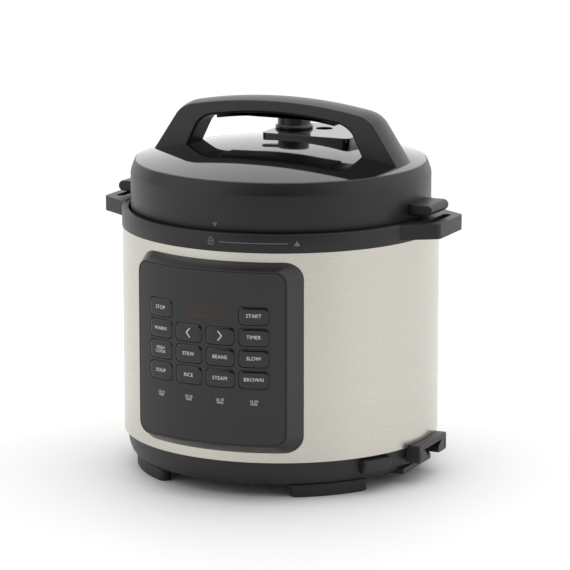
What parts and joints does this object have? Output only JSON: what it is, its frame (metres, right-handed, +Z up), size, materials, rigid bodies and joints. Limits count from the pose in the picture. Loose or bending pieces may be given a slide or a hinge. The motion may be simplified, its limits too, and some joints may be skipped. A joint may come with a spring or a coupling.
{
  "type": "electric pressure cooker",
  "caption": "Electric pressure cooker: steel body with a front key panel, bayonet lid with arched handle, steam release and float valve, and a lift-out inner pot.",
  "frame": {"origin": "on the pot's axis at the level of the table, under the middle of the four feet", "axes": "+Z up, the control panel faces -Y, the carrying handles reach out along X, the mains inlet is at +X"},
  "size_m": [0.309, 0.2952, 0.313],
  "materials": {
    "brushed_steel": "brushed round the body",
    "satin_black": "satin",
    "dark_plastic": "matte",
    "gloss_black": "high gloss",
    "key_black": "gloss",
    "foot_plastic": "matte",
    "plain_steel": "satin",
    "cast_aluminium": "as cast and turned",
    "silicone": "translucent, satin",
    "float_red": "satin",
    "smoked_window": "gloss",
    "clear_cup": "clear, slightly smoked",
    "board_green": "solder mask",
    "relay_blue": "moulded",
    "winding": "taped winding",
    "pin_brass": "plated",
    "wire": "insulated",
    "fuse_body": "glazed"
  },
  "bodies": {
    "cooker": {"outer_shell": "brushed_steel", "top_ring": "satin_black", "base_housing": "satin_black", "base_cover": "dark_plastic", "base_screws": "plain_steel", "foot_front_right": "foot_plastic", "foot_back_right": "foot_plastic", "foot_back_left": "foot_plastic", "foot_front_left": "foot_plastic", "liner": "plain_steel", "heating_plate": "cast_aluminium", "sensor_bracket": "plain_steel", "sensor_spring": "plain_steel", "thermal_fuse": "fuse_body", "pressure_switch": "dark_plastic", "power_board": "board_green", "relay": "relay_blue", "transformer": "winding", "mains_leads": "wire", "ribbon_cable": "wire", "inlet_hood": "satin_black", "mains_inlet": "dark_plastic", "inlet_pins": "pin_brass", "cup_rail": "dark_plastic", "panel_frame": "satin_black", "panel_face": "gloss_black", "display_window": "smoked_window", "display_module": "dark_plastic", "control_board": "board_green", "tact_switches": "dark_plastic"},
    "sensor": {"temperature_sensor": "cast_aluminium"},
    "cup": {"condensation_cup": "clear_cup"},
    "pot": {"inner_pot": "plain_steel"},
    "seal": {"sealing_ring": "silicone"},
    "lid": {"ring_rack": "plain_steel", "lid_steel": "plain_steel", "lid_cover": "gloss_black", "lid_handle": "satin_black", "handle_insert": "dark_plastic", "handle_screws": "plain_steel", "valve_stem": "plain_steel", "anti_block_shield": "plain_steel"},
    "steam_valve": {"steam_knob": "satin_black"},
    "float_valve": {"float_pin": "float_red", "float_seal": "silicone"},
    "key_soup": {"key_soup": "key_black"},
    "key_rice": {"key_rice": "key_black"},
    "key_steam": {"key_steam": "key_black"},
    "key_brown": {"key_brown": "key_black"},
    "key_pressure": {"key_pressure": "key_black"},
    "key_stew": {"key_stew": "key_black"},
    "key_beans": {"key_beans": "key_black"},
    "key_slow": {"key_slow": "key_black"},
    "key_warm": {"key_warm": "key_black"},
    "key_back": {"key_back": "key_black"},
    "key_next": {"key_next": "key_black"},
    "key_delay": {"key_delay": "key_black"},
    "key_cancel": {"key_cancel": "key_black"},
    "key_start": {"key_start": "key_black"}
  },
  "joints": [
    {"name": "lid_lift", "type": "slide", "parent": "cooker", "child": "seal", "axis": [0, 0, 1], "range_m": [0, 0.36]},
    {"name": "lid_turn", "type": "hinge", "parent": "seal", "child": "lid", "pos_m": [0, 0, 0.23], "axis": [0, 0, 1], "range_deg": [0, 30]},
    {"name": "pot_lift", "type": "slide", "parent": "cooker", "child": "pot", "axis": [0, 0, 1], "range_m": [0, 0.18]},
    {"name": "valve_turn", "type": "hinge", "parent": "lid", "child": "steam_valve", "pos_m": [-0.0096, 0.047, 0.285], "axis": [0, 0, 1], "range_deg": [-60, 0]},
    {"name": "float_rise", "type": "slide", "parent": "lid", "child": "float_valve", "axis": [0, 0, 1], "range_m": [0, 0.006]},
    {"name": "sensor_press", "type": "slide", "parent": "cooker", "child": "sensor", "axis": [0, 0, -1], "range_m": [0, 0.0015], "stiffness_N_per_m": 1500, "deforming": ["sensor_spring"]},
    {"name": "cup_slide", "type": "slide", "parent": "cooker", "child": "cup", "axis": [0, 1, 0], "range_m": [0, 0.06]},
    {"name": "key_soup_press", "type": "slide", "parent": "cooker", "child": "key_soup", "axis": [0.284, 0.9588, 0], "range_m": [0, 0.0006], "stiffness_N_per_m": 1500},
    {"name": "key_rice_press", "type": "slide", "parent": "cooker", "child": "key_rice", "axis": [0.0958, 0.9954, 0], "range_m": [0, 0.0006], "stiffness_N_per_m": 1500},
    {"name": "key_steam_press", "type": "slide", "parent": "cooker", "child": "key_steam", "axis": [-0.0958, 0.9954, 0], "range_m": [0, 0.0006], "stiffness_N_per_m": 1500},
    {"name": "key_brown_press", "type": "slide", "parent": "cooker", "child": "key_brown", "axis": [-0.284, 0.9588, 0], "range_m": [0, 0.0006], "stiffness_N_per_m": 1500},
    {"name": "key_pressure_press", "type": "slide", "parent": "cooker", "child": "key_pressure", "axis": [0.284, 0.9588, 0], "range_m": [0, 0.0006], "stiffness_N_per_m": 1500},
    {"name": "key_stew_press", "type": "slide", "parent": "cooker", "child": "key_stew", "axis": [0.0958, 0.9954, 0], "range_m": [0, 0.0006], "stiffness_N_per_m": 1500},
    {"name": "key_beans_press", "type": "slide", "parent": "cooker", "child": "key_beans", "axis": [-0.0958, 0.9954, 0], "range_m": [0, 0.0006], "stiffness_N_per_m": 1500},
    {"name": "key_slow_press", "type": "slide", "parent": "cooker", "child": "key_slow", "axis": [-0.284, 0.9588, 0], "range_m": [0, 0.0006], "stiffness_N_per_m": 1500},
    {"name": "key_warm_press", "type": "slide", "parent": "cooker", "child": "key_warm", "axis": [0.284, 0.9588, 0], "range_m": [0, 0.0006], "stiffness_N_per_m": 1500},
    {"name": "key_back_press", "type": "slide", "parent": "cooker", "child": "key_back", "axis": [0.0958, 0.9954, 0], "range_m": [0, 0.0006], "stiffness_N_per_m": 1500},
    {"name": "key_next_press", "type": "slide", "parent": "cooker", "child": "key_next", "axis": [-0.0958, 0.9954, 0], "range_m": [0, 0.0006], "stiffness_N_per_m": 1500},
    {"name": "key_delay_press", "type": "slide", "parent": "cooker", "child": "key_delay", "axis": [-0.284, 0.9588, 0], "range_m": [0, 0.0006], "stiffness_N_per_m": 1500},
    {"name": "key_cancel_press", "type": "slide", "parent": "cooker", "child": "key_cancel", "axis": [0.284, 0.9588, 0], "range_m": [0, 0.0006], "stiffness_N_per_m": 1500},
    {"name": "key_start_press", "type": "slide", "parent": "cooker", "child": "key_start", "axis": [-0.284, 0.9588, 0], "range_m": [0, 0.0006], "stiffness_N_per_m": 1500}
  ],
  "couplings": [
    {"joint": "pot_lift", "follows": "lid_lift", "ratio": 0.48}
  ]
}
